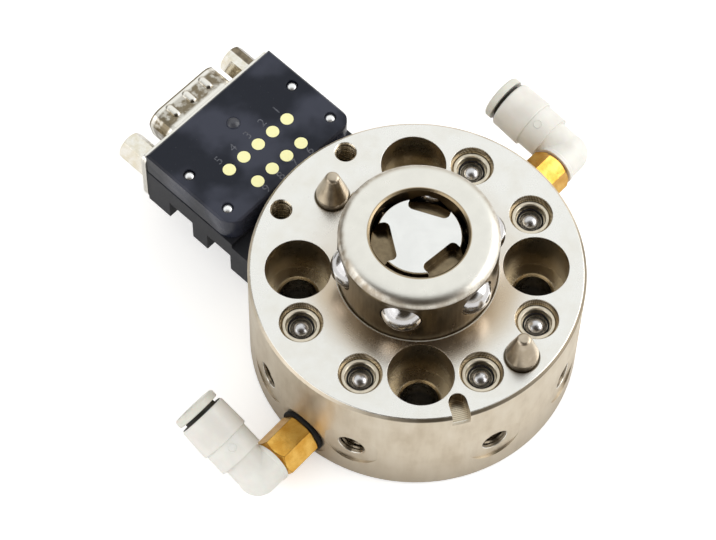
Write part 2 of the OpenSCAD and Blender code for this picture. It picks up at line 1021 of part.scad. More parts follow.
module tube_seal(side) {
    color("#1c1c1c")
        translate([leg_at, 0, 0])
            along_y(side)
                translate([0, 0, seal_floor + seat_gap])
                    tube_ring(socket_r - seat_gap, tube_r + tube_gap, tube_seal_t);
}

module release_button(side) {
    face_from = sleeve_end + button_gap;
    face_end = face_from + button_t;
    edge = 0.3;
    color("#dfe3e3")
        translate([leg_at, 0, 0])
            along_y(side)
                rotate_extrude()
                    polygon([
                        [tube_r + tube_gap, face_from - neck_len],
                        [neck_r, face_from - neck_len],
                        [neck_r, face_from],
                        [button_r - 0.1, face_from],
                        [button_r, face_from + 0.1],
                        [button_r, face_end - edge],
                        [button_r - edge, face_end],
                        [tube_r + tube_gap + edge, face_end],
                        [tube_r + tube_gap, face_end - edge]
                    ]);
}

module at_fitting_a() {
    at_angle(port_a_angle, cylinder_z + port_a_up)
        children();
}

module at_fitting_b() {
    at_angle(port_b_angle, seat_z - port_b_down)
        children();
}

module at_leg_a() {
    at_fitting_a()
        rotate([-leg_tilt_a, 0, 0])
            children();
}

module at_leg_b() {
    at_fitting_b()
        rotate([leg_tilt_b, 0, 0])
            children();
}

// ---------- electrical module ----------

module plate_outline() {
    half = plate_w / 2;
    r = plate_corner_r;
    translate([-half, plate_in + r])
        square([plate_w, plate_len - r]);
    translate([-half + r, plate_in])
        square([plate_w - 2 * r, plate_len]);
    for (side = [-1, 1])
        translate([side * (half - r), plate_in + r])
            circle(r = r);
}

// A block with its top edges broken, as a profile drawn through
module broken_edge_block(x_half, y0, y1, z0, z1, edge) {
    intersection() {
        translate([0, y1 + cut, 0])
            rotate([90, 0, 0])
                linear_extrude(y1 - y0 + 2 * cut)
                    polygon([
                        [-x_half, z0], [x_half, z0], [x_half, z1 - edge],
                        [x_half - edge, z1], [edge - x_half, z1], [-x_half, z1 - edge]
                    ]);
        translate([-x_half - cut, 0, 0])
            rotate([90, 0, 90])
                linear_extrude(2 * (x_half + cut))
                    polygon([
                        [y0, z0], [y1, z0], [y1, z1 - edge],
                        [y1 - edge, z1], [y0 + edge, z1], [y0, z1 - edge]
                    ]);
    }
}

// Where the contacts are, counted as the plate numbers them
function contact_places() = concat(
    [for (i = [0:4]) [(2 - i) * contact_pitch, row_of_five_y]],
    [for (i = [0:3]) [(1.5 - i) * contact_pitch, row_of_four_y]]
);

module contact_plate() {
    color("#20242e")
        in_module()
            difference() {
                intersection() {
                    translate([0, 0, plate_z])
                        linear_extrude(plate_t)
                            plate_outline();
                    broken_edge_block(plate_w / 2, plate_in, plate_out, plate_z, plate_top_z, plate_edge);
                }
                for (p = contact_places())
                    translate([p[0], p[1], plate_z - cut])
                        cylinder(d = contact_d + 2 * seat_gap, h = plate_t + 2 * cut);
                for (x = [-module_screw_x, module_screw_x], y = module_screw_ys)
                    translate([x, y, plate_z - cut])
                        cylinder(r = module_screw_r + run_gap, h = plate_t + 2 * cut);
                translate([0, plug_knob_y, plate_z - cut])
                    cylinder(r = plug_knob_r + seat_gap, h = plate_t + 2 * cut);
            }
}

module contact_pins() {
    color("#e3cf7c")
        in_module()
            for (p = contact_places())
                translate([p[0], p[1], plate_top_z - contact_head_len]) {
                    cylinder(d = contact_d, h = contact_head_len);
                    translate([0, 0, -contact_tail_len])
                        cylinder(r = contact_tail_r, h = contact_tail_len);
                }
}

module filler_plug() {
    dome = 0.2;
    color("#181b22")
        in_module()
            translate([0, plug_knob_y, 0])
                rotate_extrude()
                    polygon(concat(
                        [[0, plate_z], [plug_knob_r, plate_z], [plug_knob_r, plate_top_z]],
                        [for (i = [1:5]) let (a = 18 * i)
                            [plug_knob_r * cos(a), plate_top_z + dome * sin(a)]]
                    ));
}

module housing_solid() {
    half = housing_w / 2;
    translate([-half, plate_in, housing_z])
        cube([housing_w, plate_len, housing_h]);
    difference() {
        translate([-half, body_r / 2, housing_z])
            cube([housing_w, plate_in - body_r / 2 + cut, foot_top_z - housing_z]);
        translate([0, 0, -cut])
            cylinder(r = body_r + housing_gap, h = body_h);
    }
    translate([-tongue_w / 2, tongue_in, housing_z])
        cube([tongue_w, plate_in - tongue_in + cut, tongue_t]);
}

module module_housing() {
    half = housing_w / 2;
    opening_z = flange_z - block_h / 2 - 1.4;
    color("#2a2d35")
        in_module()
            difference() {
                housing_solid();
                for (side = [0, 1], y = module_screw_ys)
                    mirror([side, 0, 0]) {
                        translate([pocket_in_x, y - pocket_len / 2, housing_z - cut])
                            cube([half, pocket_len, pocket_h + cut]);
                        translate([module_screw_x, y, housing_z])
                            cylinder(r = module_screw_r + loose_gap, h = housing_h + cut);
                    }
                translate([-cavity_w / 2, plate_in + cavity_wall, housing_z + cavity_floor])
                    cube([cavity_w, plate_len - 2 * cavity_wall, housing_h]);
                translate([-cavity_w / 2, plate_out - 2 * cavity_wall, opening_z])
                    cube([cavity_w, 3 * cavity_wall, housing_h]);
                for (x = [-jack_pitch / 2, jack_pitch / 2])
                    translate([x, plate_out - jack_shank_len - 0.5, flange_z])
                        along_y()
                            cylinder(r = jack_shank_r + run_gap, h = jack_shank_len + cut);
                rotate([0, 0, -module_turn])
                    for (a = m4_angles)
                        at_polar(m4_circle_r, a, housing_z - cut)
                            cylinder(r = 2.2, h = tongue_t + 2 * cut);
            }
}

module module_screws() {
    head_z = housing_z + pocket_h - module_screw_head_h;
    shank_len = plate_top_z - module_screw_drop - head_z - module_screw_head_h;
    color("#c9c9c6")
        in_module()
            for (x = [-module_screw_x, module_screw_x], y = module_screw_ys)
                translate([x, y, head_z])
                    socket_head_screw(2 * module_screw_head_r, module_screw_head_h,
                        2 * module_screw_r, shank_len, 1.5);
}

module module_mount_screws() {
    shank_len = tongue_t + 7;
    color("#3a3a3c")
        for (a = m4_angles)
            at_polar(m4_circle_r, a, housing_z - m4_head_h)
                socket_head_screw(2 * m4_head_r, m4_head_h, 2 * (m4_tap_r - seat_gap), shank_len, 3);
}

// ---------- nine-way plug ----------

// The shell's outline, grown by d; the wide side is up
function shell_outline(d) =
    let (
        top = shell_w / 2 + d / cos(shell_side_angle) + d * tan(shell_side_angle),
        h = shell_h / 2 + d,
        low = top - 2 * h * tan(shell_side_angle)
    )
    rounded([[-low, -h], [low, -h], [top, h], [-top, h]], shell_corner_r + d);

// Stands an outline up on the outer face of the module, y0 to y1 away from the body
module plug_slice(y0, y1) {
    translate([0, y1, flange_z])
        rotate([90, 0, 0])
            linear_extrude(y1 - y0)
                children();
}

module flange_outline() {
    difference() {
        polygon(rounded([
            [-flange_w / 2, -flange_h / 2], [flange_w / 2, -flange_h / 2],
            [flange_w / 2, flange_h / 2], [-flange_w / 2, flange_h / 2]
        ], 1.2));
        for (x = [-jack_pitch / 2, jack_pitch / 2])
            translate([x, 0])
                circle(r = jack_shank_r + run_gap);
    }
}

module dimple(r, len) {
    translate([0, -len / 2, 0])
        along_y()
            cylinder(r = r, h = len, $fn = 32);
    for (end = [-1, 1])
        translate([0, end * len / 2, 0])
            sphere(r = r, $fn = 32);
}

module plug_front_shell() {
    y0 = plate_out + sheet_t;
    dimple_r = 1.2;
    dimple_rise = 0.3;
    color("#c9c4b4")
        in_module()
            difference() {
                union() {
                    plug_slice(y0 + seat_gap, y0 + sheet_t)
                        flange_outline();
                    plug_slice(y0 + seat_gap, y0 + sheet_t + shell_len)
                        polygon(shell_outline(0));
                    for (side = [-1, 1], x = side > 0 ? [-4, 0, 4] : [-2.5, 2.5])
                        translate([x, y0 + sheet_t + 0.65 * shell_len,
                            flange_z + side * (shell_h / 2 + dimple_rise - dimple_r)])
                            dimple(dimple_r, 1.5);
                }
                plug_slice(y0 - cut, y0 + sheet_t + shell_len + cut)
                    polygon(shell_outline(-sheet_t));
            }
}

module plug_rear_shell() {
    color("#bdb8a8")
        in_module()
            plug_slice(plate_out, plate_out + sheet_t)
                difference() {
                    flange_outline();
                    polygon(shell_outline(-sheet_t));
                }
}

module plug_insulator() {
    color("#17181b")
        in_module()
            difference() {
                union() {
                    plug_slice(plate_out, plate_out + 2 * sheet_t + insulator_face)
                        polygon(shell_outline(-sheet_t - shell_gap));
                    translate([-block_w / 2, plate_out - block_len, flange_z - block_h / 2 - 1.2])
                        cube([block_w, block_len, block_h]);
                }
                for (p = pin_places())
                    translate([p[0], plate_out - block_len - cut, flange_z + p[1]])
                        along_y()
                            cylinder(r = contact_pin_r + seat_gap, h = block_len + 5);
            }
}

function pin_places() = concat(
    [for (i = [-2:2]) [i * pin_pitch, pin_rows / 2]],
    [for (i = [-2:1]) [(i + 0.5) * pin_pitch, -pin_rows / 2]]
);

module plug_pins() {
    tail = 2.5;
    len_all = tail + block_len + 2 * sheet_t + insulator_face + contact_pin_len;
    tip = 0.35;
    color("#d9c07a")
        in_module()
            for (p = pin_places())
                translate([p[0], plate_out - block_len - tail, flange_z + p[1]])
                    along_y()
                        rotate_extrude()
                            polygon([
                                [0, 0],
                                [contact_pin_r, 0],
                                [contact_pin_r, len_all - 2 * tip],
                                [contact_pin_r - tip, len_all],
                                [0, len_all]
                            ]);
}

module jackscrews() {
    y0 = plate_out + 2 * sheet_t;
    corner_r = jack_af / 2 / cos(30);
    edge = 0.4;
    color("#cbc6b6")
        in_module()
            for (x = [-jack_pitch / 2, jack_pitch / 2])
                translate([x, y0, flange_z])
                    along_y()
                        difference() {
                            union() {
                                intersection() {
                                    cylinder(r = corner_r, h = jack_len, $fn = 6);
                                    cylinder(r1 = corner_r + jack_len - edge, r2 = corner_r - edge,
                                        h = jack_len);
                                }
                                translate([0, 0, -jack_shank_len - 2 * sheet_t])
                                    cylinder(r = jack_shank_r, h = jack_shank_len + 2 * sheet_t + 0.1);
                            }
                            translate([0, 0, jack_len - 5])
                                cylinder(r = jack_bore_r, h = 5 + cut);
                            translate([0, 0, jack_len - 0.35])
                                cylinder(r1 = jack_bore_r, r2 = jack_bore_r + 0.35, h = 0.36);
                        }
}

body();
ball_cage();
locking_cam();
piston();
piston_screw();
piston_seal();
rod_seal();
cage_o_ring();
end_cover();
cover_o_ring();
retaining_ring();
locking_ball(0);  // locking_ball_1
locking_ball(1);  // locking_ball_2
locking_ball(2);  // locking_ball_3
locking_ball(3);  // locking_ball_4
locking_ball(4);  // locking_ball_5
locking_ball(5);  // locking_ball_6
locating_pin_a();
locating_pin_b();
valve_bushings();
valve_retainers();
valve_seats();
check_ball(0);  // check_ball_1
check_ball(1);  // check_ball_2
check_ball(2);  // check_ball_3
check_ball(3);  // check_ball_4
check_ball(4);  // check_ball_5
check_ball(5);  // check_ball_6
valve_spring(0);  // valve_spring_1
valve_spring(1);  // valve_spring_2
valve_spring(2);  // valve_spring_3
valve_spring(3);  // valve_spring_4
valve_spring(4);  // valve_spring_5
valve_spring(5);  // valve_spring_6
at_fitting_a() stud(hex_turn_a);  // stud_a
at_fitting_a() gasket();  // gasket_a
at_leg_a() elbow(-1);  // elbow_a
at_leg_a() sleeve(-1);  // sleeve_a
at_leg_a() tube_seal(-1);  // tube_seal_a
at_leg_a() release_button(-1);  // release_button_a
at_fitting_b() stud(hex_turn_b);  // stud_b
at_fitting_b() gasket();  // gasket_b
at_leg_b() elbow(1);  // elbow_b
at_leg_b() sleeve(1);  // sleeve_b
at_leg_b() tube_seal(1);  // tube_seal_b
at_leg_b() release_button(1);  // release_button_b
contact_plate();
module_housing();
contact_pins();
module_screws();
filler_plug();
module_mount_screws();
plug_front_shell();
plug_rear_shell();
plug_insulator();
plug_pins();
jackscrews();
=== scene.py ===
"""Looks of a robotic tool changer, the robot side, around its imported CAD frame."""

import json
import math

import bmesh
import bpy
from mathutils import Matrix, Vector


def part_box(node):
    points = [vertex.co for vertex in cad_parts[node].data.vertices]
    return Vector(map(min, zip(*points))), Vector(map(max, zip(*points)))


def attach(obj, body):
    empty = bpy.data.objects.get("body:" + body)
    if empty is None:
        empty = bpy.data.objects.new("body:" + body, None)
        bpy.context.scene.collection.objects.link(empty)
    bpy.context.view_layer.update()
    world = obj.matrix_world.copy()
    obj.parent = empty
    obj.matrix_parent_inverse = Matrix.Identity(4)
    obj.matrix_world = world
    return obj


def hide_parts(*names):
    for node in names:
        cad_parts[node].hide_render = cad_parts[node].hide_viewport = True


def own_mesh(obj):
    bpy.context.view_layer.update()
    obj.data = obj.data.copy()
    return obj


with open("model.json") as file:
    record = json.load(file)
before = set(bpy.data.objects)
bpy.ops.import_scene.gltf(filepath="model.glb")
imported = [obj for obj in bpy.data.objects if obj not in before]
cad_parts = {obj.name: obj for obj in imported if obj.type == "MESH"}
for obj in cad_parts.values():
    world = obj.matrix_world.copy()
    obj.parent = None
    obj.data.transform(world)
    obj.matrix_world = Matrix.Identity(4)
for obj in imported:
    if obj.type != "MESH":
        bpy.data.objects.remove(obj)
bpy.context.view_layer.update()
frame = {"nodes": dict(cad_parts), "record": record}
nodes = frame["nodes"]

MM = 0.001
FIXED = "changer_body"
TURN = 2 * math.pi


def top_of(node):
    """The height of a node's highest point, in millimetres."""
    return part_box(node)[1][2] / MM


# Places that repeat the frame's own, in millimetres
BODY_TOP = top_of("body")
BODY_R = 28.5
BOLT_CIRCLE_R = 20
BOLT_SEAT_Z = 10.5
CAGE_TOP = top_of("ball_cage")
CAGE_R = 13.5
CAM_TOP = top_of("locking_cam")
VALVE_R = 22
VALVE_ANGLES = (27, 63, -27, -63, -117, -153)
TOP_HOLE_CIRCLE_R, TOP_HOLE_R = 25.5, 1.65
TOP_HOLE_ANGLES = (117, 153)

# The contact module stands turned about Z: its own X runs along it and its Y outward
MODULE_ANGLE = math.radians(45)
PLATE_TOP = top_of("contact_plate")
CONTACT_PITCH = 3.54
DIGIT_ROW_FAR, DIGIT_ROW_NEAR = 40.1, 30.3
SCREW_X = 12.6
SCREW_ROWS = (32.45, 41.75)
JACK_X = 12.5
SHELL_START, SHELL_END = 50.9, 56.7
SHELL_TOP = sum(corner[2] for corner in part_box("plug_front_shell")) / 2 / MM + 4.18

# Along a fitting's leg from its barrel's axis
LEG_R = 4.2
SLEEVE_END = 13.9
BUTTON_NECK_R = 3.1
BUTTON_FACE = 14.6


# ---------- shader maths ----------

class Socket:
    """A shader output that takes part in plain sums; each sum adds a Math node."""

    def __init__(self, paint, output):
        self.paint = paint
        self.output = output

    def math(self, operation, *others):
        settings = {"operation": operation}
        sockets = {i: value for i, value in enumerate((self,) + others)}
        return self.paint.node("Math", settings, sockets)

    def flipped(self, operation, other):
        return self.paint.node("Math", {"operation": operation}, {0: other, 1: self})

    def __add__(self, other):
        return self.math("ADD", other)

    def __sub__(self, other):
        return self.math("SUBTRACT", other)

    def __mul__(self, other):
        return self.math("MULTIPLY", other)

    def __rsub__(self, other):
        return self.flipped("SUBTRACT", other)

    __radd__ = __add__
    __rmul__ = __mul__

    def between(self, low, high):
        """0 at low, 1 at high and smooth between them; low may be the larger."""
        settings = {"interpolation_type": "SMOOTHSTEP"}
        sockets = {"Value": self, "From Min": low, "From Max": high}
        return self.paint.node("MapRange", settings, sockets)


class Paint:
    """A material, or the world, whose nodes are made through one method."""

    def __init__(self, owner):
        self.owner = owner
        owner.use_nodes = True
        self.tree = owner.node_tree
        self.tree.nodes.clear()

    def node(self, kind, settings=None, sockets=None, out=0):
        made = self.tree.nodes.new("ShaderNode" + kind)
        for name, value in (settings or {}).items():
            if name == "stops":
                set_stops(made.color_ramp, value)
            else:
                setattr(made, name, value)
        for name, value in (sockets or {}).items():
            if isinstance(value, Socket):
                self.tree.links.new(value.output, made.inputs[name])
            else:
                made.inputs[name].default_value = value
        return Socket(self, made.outputs[out]) if made.outputs else None

    def place_mm(self):
        """Object coordinates in millimetres."""
        place = self.node("TexCoord", out="Object")
        return self.node("VectorMath", {"operation": "SCALE"}, {0: place, "Scale": 1 / MM})

    def split(self, vector):
        outputs = self.node("SeparateXYZ", sockets={0: vector}).output.node.outputs
        return [Socket(self, outputs[i]) for i in range(3)]

    def dot(self, first, second):
        settings = {"operation": "DOT_PRODUCT"}
        return self.node("VectorMath", settings, {0: first, 1: second}, out="Value")

    def noise(self, place, scale, detail=3.0, roughness=0.55):
        sockets = {"Vector": place, "Scale": scale, "Detail": detail, "Roughness": roughness}
        return self.node("TexNoise", sockets=sockets)

    def stretched(self, place, scale):
        return self.node("VectorMath", {"operation": "MULTIPLY"}, {0: place, 1: scale})

    def blend(self, factor, first, second):
        """From one colour to another."""
        sockets = {"Factor": factor, 6: colour(first), 7: colour(second)}
        return self.node("Mix", {"data_type": "RGBA"}, sockets, out=2)

    def blend_normals(self, factor, first, second):
        sockets = {"Factor": factor, 4: first, 5: second}
        return self.node("Mix", {"data_type": "VECTOR"}, sockets, out=1)

    def ramp(self, stops, value):
        return self.node("ValToRGB", {"stops": stops}, {0: value})

    def bump(self, height, distance_mm, normal=None):
        sockets = {"Height": height, "Distance": distance_mm * MM, "Strength": 1.0}
        if normal is not None:
            sockets["Normal"] = normal
        return self.node("Bump", sockets=sockets)

    def soft_edge(self, radius_mm, samples=4):
        return self.node("Bevel", {"samples": samples}, {"Radius": radius_mm * MM})

    def surface(self, **fields):
        """Ends the material in a Principled BSDF, and gives the material."""
        titles = {name: name.replace("_", " ").title().replace("Ior", "IOR") for name in fields}
        sockets = {titles[name]: value for name, value in fields.items()}
        shader = self.node("BsdfPrincipled", sockets=sockets)
        self.node("OutputMaterial", sockets={"Surface": shader})
        return self.owner


def colour(value):
    if isinstance(value, Socket) or len(value) == 4:
        return value
    return (*value, 1.0)


def set_stops(ramp, stops):
    while len(ramp.elements) < len(stops):
        ramp.elements.new(0.5)
    for element, (position, shade) in zip(ramp.elements, stops):
        element.position = position
        element.color = colour(shade)


def material(name):
    return Paint(bpy.data.materials.new(name))


# ---------- metals ----------

def lathe_lines(distance, pitch):
    """Turning marks: a wave from 0 to 1 over a distance."""
    wave = (distance * (TURN / pitch)).math("SINE")
    return wave * 0.5 + 0.5


def radius(x, y):
    return (x * x + y * y).math("SQRT")


def along_module(x, y):
    """How far a point lies outward from the body, in the contact module's direction."""
    return y * math.cos(MODULE_ANGLE) - x * math.sin(MODULE_ANGLE)


def scaled(shade, share):
    return tuple(part * share for part in shade)


def pin_foot_shade(x, y):
    """1 close round the foot of each locating pin: the mask of a painted shade."""
    feet = []
    for node in ("locating_pin_a", "locating_pin_b"):
        low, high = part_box(node)
        middle_x, middle_y = ((low[i] + high[i]) / 2 / MM for i in (0, 1))
        pin_r = (high[0] - low[0]) / 2 / MM
        feet.append(radius(x - middle_x, y - middle_y).between(pin_r + 0.45, pin_r + 0.2))
    return feet


def plated_body():
    """Electroless nickel over a turned body, duller in its bores; painted shade and reflection
    brown its bores and outer wall.
    """
    paint = material("plated_body")
    place = paint.place_mm()
    x, y, z = paint.split(place)
    cloud = paint.noise(place, 0.16, 4)
    grain = paint.noise(paint.stretched(place, (1.2, 1.2, 5.0)), 1.4, 3)
    smear = paint.noise(paint.stretched(place, (0.5, 0.5, 0.12)), 0.9, 5)

    # Where a point is: below the top face, in a bolt hole, in any bore, or on the outer wall
    near_x = radius(x.math("ABSOLUTE") - BOLT_CIRCLE_R, y)
    near_y = radius(x, y.math("ABSOLUTE") - BOLT_CIRCLE_R)
    from_hole = near_x.math("MINIMUM", near_y)
    from_axis = radius(x, y)
    sunk = z.math("LESS_THAN", BODY_TOP - 0.08)
    in_hole = sunk * from_hole.math("LESS_THAN", 6)
    inside = sunk * z.math("GREATER_THAN", 0.1) * from_axis.math("LESS_THAN", BODY_R - 0.5)
    outside = sunk * from_axis.math("GREATER_THAN", BODY_R - 0.42)
    across = in_hole * from_hole + (1 - in_hole) * from_axis
    marks = lathe_lines(across, 0.34) + lathe_lines(z, 0.42) * (1 + 4 * in_hole)

    face = paint.ramp([
        (0.3, (0.83, 0.80, 0.73)),
        (0.55, (0.88, 0.865, 0.82)),
        (0.75, (0.89, 0.875, 0.835)),
    ], cloud * 0.6 + smear * 0.4)
    # Painted reflection: the outer wall is a darker, warmer copy of the plating
    wall = paint.ramp([
        (0.32, (0.57, 0.48, 0.355)),
        (0.52, (0.70, 0.62, 0.495)),
        (0.72, (0.78, 0.715, 0.60)),
    ], cloud * 0.45 + smear * 0.55)
    # Painted shade: the outer wall darkens towards the bottom
    shaded_low_wall = outside * z.between(13, 0) * (0.45 + 0.2 * cloud)
    # Painted shade: a dark line along the foot of the outer wall
    shaded_bottom_edge = z.between(0.75, 0.4) * z.math("GREATER_THAN", 0.02) * outside
    top_edge = from_axis.between(BODY_R - 0.42, BODY_R - 0.38)
    top_edge = top_edge * z.between(BODY_TOP - 0.75, BODY_TOP - 0.6)
    shaded_edge = top_edge * x.between(-8, 2) * y.between(12, 2)
    # Painted reflection of the collar: a brown fan on the top face round it, strongest towards the
    # front
    painted_collar_reflection = from_axis.between(21.5, CAGE_R + 1.5) * (1 - sunk) * (0.3 + 0.7 * y.between(6, -6))
    # Painted highlight: a bright, rougher line at the collar's foot
    painted_foot_highlight = from_axis.between(CAGE_R + 0.45, CAGE_R + 0.35)
    painted_foot_highlight = painted_foot_highlight * z.math("GREATER_THAN", BODY_TOP - 0.3)
    layers = [
        (shaded_low_wall, (0.42, 0.355, 0.27)),
        (shaded_bottom_edge * 0.85, (0.15, 0.12, 0.08)),
        (shaded_edge * 0.85, (0.16, 0.13, 0.09)),
        (painted_collar_reflection * 0.85, (0.56, 0.43, 0.28)),
        (painted_foot_highlight, (1.0, 0.98, 0.90)),
    ]
    # Painted shade: a dark ring round the foot of each locating pin
    layers += [(foot, (0.10, 0.08, 0.05)) for foot in pin_foot_shade(x, y)]
    plate = paint.blend(outside, face, wall)
    for share, shade in layers:
        plate = paint.blend(share, plate, shade)

    # Painted shade: the bores are darker, browner copies of the plating, ringed along the turning
    # marks and darker still towards the bolt seats' depth
    bore = paint.blend(marks.between(0.7, 1.5), (0.30, 0.235, 0.15), (0.66, 0.57, 0.42))
    bore = paint.blend(z.between(BOLT_SEAT_Z + 2, BOLT_SEAT_Z) * 0.8, bore, (0.13, 0.10, 0.065))
    rough = 0.19 + painted_foot_highlight * 0.35 + cloud * 0.08 + grain * 0.06
    rough = rough + inside * 0.02 + outside * (0.08 + smear * 0.16)
    height = marks * 0.35 + grain * 0.5 + outside * smear * 2.0
    return paint.surface(
        base_color=paint.blend(inside * 0.95, plate, bore), metallic=1.0, roughness=rough,
        normal=paint.bump(height, 0.004, paint.soft_edge(0.12)),
    )


def shaded_steel(name, top, face, rough, pitch, shoulder_r=None):
    """A ground face above walls that are painted shade: a mottled dark brown below the top face.

    With shoulder_r the piece is a collar of that radius: it has a soft outer edge darkened by
    painted reflection, most on its left, and a bronze ring of painted shade round its mouth.
    """
    paint = material(name)
    place = paint.place_mm()
    x, y, z = paint.split(place)
    from_axis = radius(x, y)
    cloud = paint.noise(place, 0.35, 4)
    streak_noise = paint.noise(paint.stretched(place, (1.0, 1.0, 0.3)), 0.7, 5)
    grain = paint.noise(place, 3.0, 3)
    face_tone = paint.blend(cloud.between(0.3, 0.7), scaled(face, 0.95), face)
    # Painted shade: the walls below the top face are mottled dark brown
    brown = paint.blend(streak_noise.between(0.25, 0.75), (0.17, 0.13, 0.08), (0.27, 0.21, 0.13))
    edge = paint.soft_edge(0.1)
    if shoulder_r:
        # Painted reflection: a darker brown band on the collar's rounded outer edge, strongest on
        # its left
        fillet_reflection = from_axis.between(shoulder_r - 1.5, shoulder_r - 0.4)
        fillet_reflection = fillet_reflection * (0.35 + 0.65 * streak_noise.between(0.35, 0.65)) * (0.5 + 0.35 * x.between(1, -9))
        face_tone = paint.blend(fillet_reflection, face_tone, (0.34, 0.265, 0.18))
        wide = from_axis.between(shoulder_r - 3.4, shoulder_r - 2.8)
        wide = wide * z.between(top - 1.4, top - 0.9)
        edge = paint.blend_normals(wide, edge, paint.soft_edge(2.3, 8))
    tone = paint.blend(z.between(top - 0.35, top - 0.1), brown, face_tone)
    if shoulder_r:
        # Painted shade: a bronze ring round the collar's mouth
        mouth = from_axis.between(shoulder_r - 4.75, shoulder_r - 4.92)
        tone = paint.blend(mouth, tone, (0.42, 0.33, 0.21))
    lines = lathe_lines(from_axis, pitch) + lathe_lines(z, pitch)
    return paint.surface(
        base_color=tone, metallic=1.0, roughness=rough * 0.75 + streak_noise * rough * 0.5,
        normal=paint.bump(lines * 0.4 + grain * 0.6, 0.002, edge),
    )


def turned_metal(name, shade, deep_shade, rough, pitch=0.3, marks=0.003):
    """A turned or ground metal with rings about the body's axis."""
    paint = material(name)
    place = paint.place_mm()
    x, y, z = paint.split(place)
    cloud = paint.noise(place, 0.35, 4)
    grain = paint.noise(place, 3.0, 3)
    lines = lathe_lines(radius(x, y), pitch) + lathe_lines(z, pitch)
    return paint.surface(
        base_color=paint.blend(cloud.between(0.3, 0.7), deep_shade, shade), metallic=1.0,
        roughness=rough * 0.75 + grain * rough * 0.5,
        normal=paint.bump(lines * 0.4 + grain * 0.6, marks, paint.soft_edge(0.08)),
    )


def plain_metal(name, shade, rough, wear=0.25):
    """A small metal piece: clouded tone, uneven gloss and a fine grain."""
    paint = material(name)
    place = paint.place_mm()
    cloud = paint.noise(place, 0.8, 4)
    grain = paint.noise(place, 2.0, 4)
    return paint.surface(
        base_color=paint.blend(cloud.between(0.25, 0.6), scaled(shade, 1 - wear), shade),
        metallic=1.0, roughness=rough * 0.7 + cloud * rough * 0.6,
        normal=paint.bump(grain, 0.002, paint.soft_edge(0.06)),
    )


def polished_ball():
    """Bearing steel, duller where the balls sit below the top face."""
    paint = material("ball_steel")
    place = paint.place_mm()
    z = paint.split(place)[2]
    haze = paint.noise(place, 1.6, 5)
    scratches = paint.noise(paint.stretched(place, (1, 9, 2)), 2.5, 2)
    seated = z.between(BODY_TOP + 0.3, BODY_TOP - 0.3)
    return paint.surface(
        base_color=paint.blend(haze, (0.60, 0.59, 0.60), (0.72, 0.71, 0.71)), metallic=1.0,
        roughness=0.13 + haze * 0.10 + seated * 0.10, normal=paint.bump(scratches, 0.0004),
    )


def nickel_shell():
    """Plated sheet: bright rims and humps with a dark mottled band of painted reflection along the
    middle.
    """
    paint = material("nickel_sheet")
    place = paint.place_mm()
    x, y, z = paint.split(place)
    outward = along_module(x, y)
    mottle = paint.noise(place, 0.9, 5)
    grain = paint.noise(place, 3.0, 3)
    # Painted reflection: a dark mottled band along the middle, kept off the humps, and a dark lip
    # at the shell's end
    band = outward.between(SHELL_START + 1.3, SHELL_START + 2.0)
    band = band * outward.between(SHELL_END - 0.7, SHELL_END - 1.2)
    hump = z.between(SHELL_TOP + 0.12, SHELL_TOP + 0.22)
    lip = outward.between(SHELL_END - 0.35, SHELL_END - 0.2)
    shell_shade = band * (0.45 + 0.55 * mottle.between(0.36, 0.56)) * (1 - hump)
    shell_shade = shell_shade.math("MAXIMUM", lip)
    return paint.surface(
        base_color=paint.blend(shell_shade, (0.88, 0.85, 0.78), (0.22, 0.18, 0.12)), metallic=1.0,
        roughness=0.16 + mottle * 0.12,
        normal=paint.bump(mottle * 0.6 + grain * 0.4, 0.012, paint.soft_edge(0.15)),
    )


def jackscrew_nickel():
    """Plated hexagons; the one by contact 1 has painted shade on its outer facets."""
    paint = material("nickel_screw")
    place = paint.place_mm()
    x, y, _ = paint.split(place)
    across = x * math.cos(MODULE_ANGLE) + y * math.sin(MODULE_ANGLE)
    outward = along_module(x, y)
    cloud = paint.noise(place, 0.8, 4)
    # Painted shade: the outer facets of the jackscrew by contact 1 are dark
    shaded_facets = across.between(JACK_X + 0.05, JACK_X + 0.25)
    shaded_facets = shaded_facets * outward.between(SHELL_START + 0.4, SHELL_START + 1.6)
    face_tone = paint.blend(cloud.between(0.3, 0.7), (0.80, 0.74, 0.60), (0.90, 0.87, 0.80))
    facet_shade_tone = paint.blend(cloud.between(0.35, 0.65), (0.16, 0.13, 0.09), (0.28, 0.23, 0.16))
    grain = paint.noise(place, 2.5, 4)
    return paint.surface(
        base_color=paint.blend(shaded_facets, face_tone, facet_shade_tone), metallic=1.0,
        roughness=0.14 + cloud * 0.1, normal=paint.bump(grain, 0.006, paint.soft_edge(0.1)),
    )


def turned_brass():
    """Streaked brass, with painted shade in dark lines where two facets meet."""
    paint = material("brass")
    place = paint.place_mm()
    streaks = paint.noise(paint.stretched(place, (1.1, 1.1, 3.2)), 1.6, 5)
    cloud = paint.noise(place, 0.5, 3)
    flat = paint.node("NewGeometry", out="Normal")
    rounded = paint.soft_edge(0.22, 8)
    # Painted shade: dark lines along the edges between facets
    edge = paint.dot(flat, rounded).between(0.995, 0.955)
    face = paint.blend(cloud.between(0.3, 0.7), (0.72, 0.37, 0.06), (0.90, 0.56, 0.14))
    tone = paint.blend(edge * 0.75, face, (0.22, 0.10, 0.02))
    normal = paint.bump(streaks, 0.012, paint.soft_edge(0.08))
    rough = 0.15 + streaks * 0.16
    return paint.surface(base_color=tone, metallic=1.0, roughness=rough, normal=normal)


def gold_contact():
    """Pale gold pads, a little clouded."""
    paint = material("gold_contact")
    place = paint.place_mm()
    cloud = paint.noise(place, 1.2, 4)
    tone = paint.blend(cloud, (0.98, 0.93, 0.42), (1.0, 0.99, 0.60))
    normal = paint.bump(paint.noise(place, 6, 2), 0.001)
    rough = 0.3 + cloud * 0.15
    return paint.surface(base_color=tone, metallic=0.35, roughness=rough, normal=normal)


# ---------- plastics and rubber ----------

